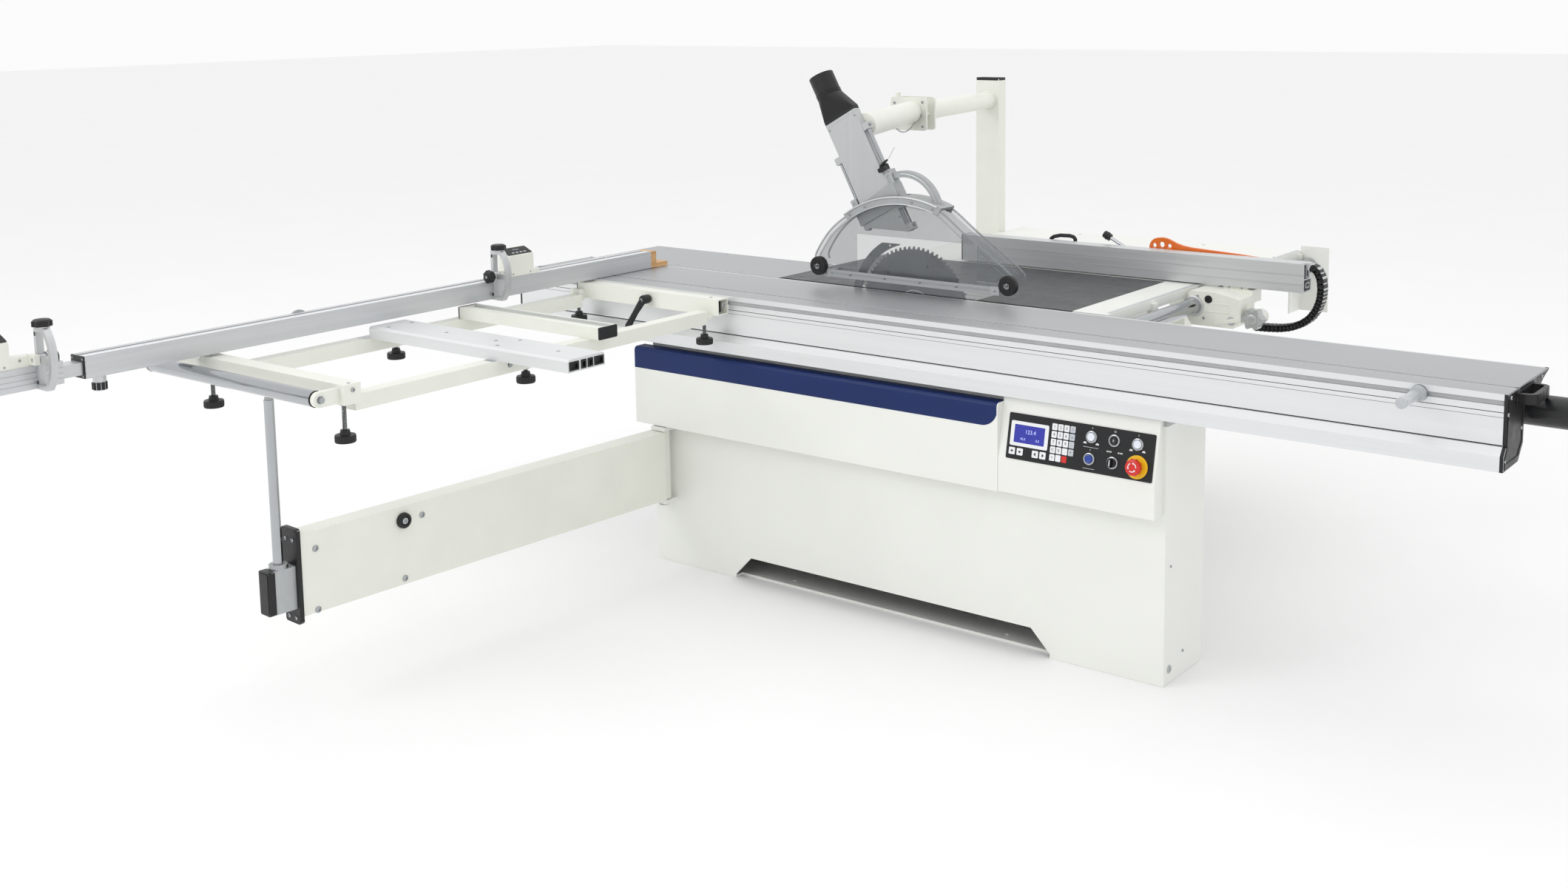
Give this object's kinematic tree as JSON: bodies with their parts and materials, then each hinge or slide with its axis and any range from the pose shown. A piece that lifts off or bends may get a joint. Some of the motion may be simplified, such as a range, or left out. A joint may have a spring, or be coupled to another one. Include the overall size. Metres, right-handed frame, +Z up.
{
  "type": "panel saw",
  "caption": "Sliding-table panel saw with tilting blade unit, long carriage, squaring frame with crosscut fence, rip fence and overhead blade guard.",
  "frame": {"origin": "on the floor, at the centre of the four floor-bolt holes", "axes": "+X along the sliding carriage towards the operator's end (work is fed towards -X), +Y from the carriage back to the rip fence, +Z up"},
  "size_m": [3.634, 4.45, 1.5767],
  "materials": {
    "white_paint": "satin powder coat",
    "bed": "satin",
    "black_tube": "satin",
    "panel": "matt film",
    "cast_table": "ground and ribbed",
    "ground_steel": "ground",
    "anodised": "satin anodised",
    "white_plastic": "satin",
    "duct": "satin",
    "chrome": "polished",
    "beech": "planed",
    "motor_paint": "satin",
    "belt": "matt",
    "clear": "clear",
    "orange_plastic": "gloss",
    "blue_plastic": "gloss",
    "red_plastic": "gloss"
  },
  "bodies": {
    "base": {"base_cabinet": "white_paint", "bed_rail": "bed", "guide_tube": "black_tube", "front_cover": "white_paint", "control_box": "white_paint", "control_panel": "panel", "saw_table": "cast_table", "table_insert": "ground_steel", "outfeed_table": "anodised", "side_table": "white_paint", "rip_bar": "chrome", "support_posts": "white_paint", "guard_boom": "white_paint", "guard_duct": "duct", "duct_nozzle": "black_tube"},
    "carriage": {"carriage_beam": "anodised", "carriage_end_caps": "black_tube", "frame_bars": "white_paint", "frame_rails": "white_paint", "frame_cross_bar": "anodised", "levelling_screws": "black_tube"},
    "push_handle": {"push_handle": "white_plastic"},
    "roller": {"frame_roller": "chrome"},
    "clamp": {"clamp_lever": "black_tube"},
    "bar": {"support_bar": "white_plastic"},
    "cage": {"roller_cage": "ground_steel"},
    "fence": {"crosscut_fence": "anodised", "fence_wood_block": "beech"},
    "extension": {"fence_extension": "anodised"},
    "stop_1": {"stop_box_1": "white_paint"},
    "flip_1": {"stop_flip_1": "anodised"},
    "stop_2": {"stop_box_2": "white_paint"},
    "flip_2": {"stop_flip_2": "anodised"},
    "arm": {"swing_arm": "white_paint"},
    "arm_inner": {"arm_tube": "chrome"},
    "tilt": {"tilt_frame": "cast_table"},
    "head": {"saw_head": "cast_table", "drive_motor": "motor_paint", "drive_belt": "belt", "riving_knife": "ground_steel"},
    "arbor": {"saw_arbor": "ground_steel", "saw_blade": "ground_steel"},
    "motor_rotor": {"motor_pulley": "ground_steel"},
    "scoring_head": {"scoring_motor": "motor_paint"},
    "scoring_arbor": {"scoring_blade": "ground_steel"},
    "rip": {"rip_carriage": "white_paint"},
    "rip_profile": {"rip_profile": "anodised"},
    "rip_knob": {"rip_knob": "anodised"},
    "rip_lever": {"rip_lever": "black_tube"},
    "push_stick": {"push_stick": "orange_plastic"},
    "hood": {"hood_shell": "clear", "hood_frame": "duct"},
    "wheel_front": {"hood_wheel_front": "black_tube"},
    "wheel_rear": {"hood_wheel_rear": "black_tube"},
    "start": {"button_start": "white_plastic"},
    "scoring_button": {"button_scoring": "white_plastic"},
    "stop": {"button_stop": "black_tube"},
    "reset": {"button_reset": "blue_plastic"},
    "estop": {"estop_button": "red_plastic"},
    "selector": {"selector_switch": "black_tube"}
  },
  "joints": [
    {"name": "carriage_slide", "type": "slide", "parent": "base", "child": "carriage", "axis": [1, 0, 0], "range_m": [-1.6, 1.37]},
    {"name": "cage_slide", "type": "slide", "parent": "base", "child": "cage", "axis": [1, 0, 0], "range_m": [-0.8, 0.7]},
    {"name": "push_handle_slide", "type": "slide", "parent": "carriage", "child": "push_handle", "axis": [1, 0, 0], "range_m": [-1.9, 0.15]},
    {"name": "roller_spin", "type": "hinge", "parent": "carriage", "child": "roller", "pos_m": [-0.94, -1.8, 0.868], "axis": [1, 0, 0], "continuous": true},
    {"name": "clamp_turn", "type": "hinge", "parent": "carriage", "child": "clamp", "pos_m": [-0.842, -0.38, 0.872], "axis": [0, 1, 0], "range_deg": [-60, 60]},
    {"name": "support_bar_slide", "type": "slide", "parent": "carriage", "child": "bar", "axis": [0, 1, 0], "range_m": [-0.15, 0.2]},
    {"name": "fence_swivel", "type": "hinge", "parent": "carriage", "child": "fence", "pos_m": [-1.151, -0.232, 0.92], "axis": [0, 0, 1], "range_deg": [-45, 45]},
    {"name": "fence_extend", "type": "slide", "parent": "fence", "child": "extension", "axis": [0, -1, 0], "range_m": [-0.05, 0.6]},
    {"name": "stop_1_slide", "type": "slide", "parent": "fence", "child": "stop_1", "axis": [0, 1, 0], "range_m": [-1.25, 0.49]},
    {"name": "stop_1_flip", "type": "hinge", "parent": "stop_1", "child": "flip_1", "pos_m": [-1.109, -0.759, 0.975], "axis": [0, -1, 0], "range_deg": [0, 90]},
    {"name": "stop_2_slide", "type": "slide", "parent": "extension", "child": "stop_2", "axis": [0, 1, 0], "range_m": [-0.5, 0.03]},
    {"name": "stop_2_flip", "type": "hinge", "parent": "stop_2", "child": "flip_2", "pos_m": [-1.109, -2.195, 0.975], "axis": [0, -1, 0], "range_deg": [0, 90]},
    {"name": "arm_swing", "type": "hinge", "parent": "base", "child": "arm", "pos_m": [-0.83, -0.335, 0.33], "axis": [0, 0, 1], "range_deg": [-50, 42]},
    {"name": "arm_extend", "type": "slide", "parent": "arm", "child": "arm_inner", "axis": [0.0616, 0.9981, 0], "range_m": [-0.8, 0]},
    {"name": "saw_tilt", "type": "hinge", "parent": "base", "child": "tilt", "pos_m": [0, 0.038, 0.9], "axis": [-1, 0, 0], "range_deg": [0, 46]},
    {"name": "blade_raise", "type": "slide", "parent": "tilt", "child": "head", "axis": [0, 0, 1], "range_m": [-0.145, 0]},
    {"name": "blade_spin", "type": "hinge", "parent": "head", "child": "arbor", "pos_m": [-0.11, 0.038, 0.845], "axis": [0, 1, 0], "continuous": true},
    {"name": "motor_spin", "type": "hinge", "parent": "head", "child": "motor_rotor", "pos_m": [-0.11, 0.25, 0.61], "axis": [0, 1, 0], "continuous": true},
    {"name": "scoring_raise", "type": "slide", "parent": "tilt", "child": "scoring_head", "axis": [0, 0, 1], "range_m": [0, 0.007]},
    {"name": "scoring_spin", "type": "hinge", "parent": "scoring_head", "child": "scoring_arbor", "pos_m": [0.17, 0.038, 0.836], "axis": [0, 1, 0], "continuous": true},
    {"name": "rip_slide", "type": "slide", "parent": "base", "child": "rip", "axis": [0, 1, 0], "range_m": [-0.5, 0.66]},
    {"name": "rip_profile_slide", "type": "slide", "parent": "rip", "child": "rip_profile", "axis": [1, 0, 0], "range_m": [-0.17, 0.35]},
    {"name": "rip_knob_turn", "type": "hinge", "parent": "rip", "child": "rip_knob", "pos_m": [0.753, 0.58, 0.826], "axis": [0, 1, 0], "continuous": true},
    {"name": "rip_lever_turn", "type": "hinge", "parent": "rip_profile", "child": "rip_lever", "pos_m": [0.282, 0.717, 0.972], "axis": [0, 1, 0], "range_deg": [0, 60]},
    {"name": "push_stick_lift", "type": "slide", "parent": "rip_profile", "child": "push_stick", "axis": [0, 0, 1], "range_m": [0, 0.25]},
    {"name": "hood_lift", "type": "slide", "parent": "base", "child": "hood", "axis": [-0.4787, 0, 0.878], "range_m": [-0.02, 0.12]},
    {"name": "wheel_front_spin", "type": "hinge", "parent": "hood", "child": "wheel_front", "pos_m": [0.246, 0, 0.963], "axis": [0, 1, 0], "continuous": true},
    {"name": "wheel_rear_spin", "type": "hinge", "parent": "hood", "child": "wheel_rear", "pos_m": [-0.444, 0, 0.963], "axis": [0, 1, 0], "continuous": true},
    {"name": "start_press", "type": "slide", "parent": "base", "child": "start", "axis": [0, 0.9806, -0.1961], "range_m": [0, 0.004], "stiffness_N_per_m": 500, "springref_m": -0.002},
    {"name": "scoring_button_press", "type": "slide", "parent": "base", "child": "scoring_button", "axis": [0, 0.9806, -0.1961], "range_m": [0, 0.004], "stiffness_N_per_m": 500, "springref_m": -0.002},
    {"name": "stop_press", "type": "slide", "parent": "base", "child": "stop", "axis": [0, 0.9806, -0.1961], "range_m": [0, 0.004], "stiffness_N_per_m": 500, "springref_m": -0.002},
    {"name": "reset_press", "type": "slide", "parent": "base", "child": "reset", "axis": [0, 0.9806, -0.1961], "range_m": [0, 0.004], "stiffness_N_per_m": 500, "springref_m": -0.002},
    {"name": "estop_press", "type": "slide", "parent": "base", "child": "estop", "axis": [0, 0.9806, -0.1961], "range_m": [0, 0.006]},
    {"name": "selector_turn", "type": "hinge", "parent": "base", "child": "selector", "pos_m": [0.76, -0.34055, 0.59326], "axis": [0, -0.9806, 0.1961], "range_deg": [-45, 45]}
  ],
  "couplings": [
    {"joint": "cage_slide", "follows": "carriage_slide", "ratio": 0.5},
    {"joint": "arm_swing", "follows": "carriage_slide", "rad_per_m": 0.53},
    {"joint": "motor_spin", "follows": "blade_spin", "ratio": 0.84444}
  ]
}
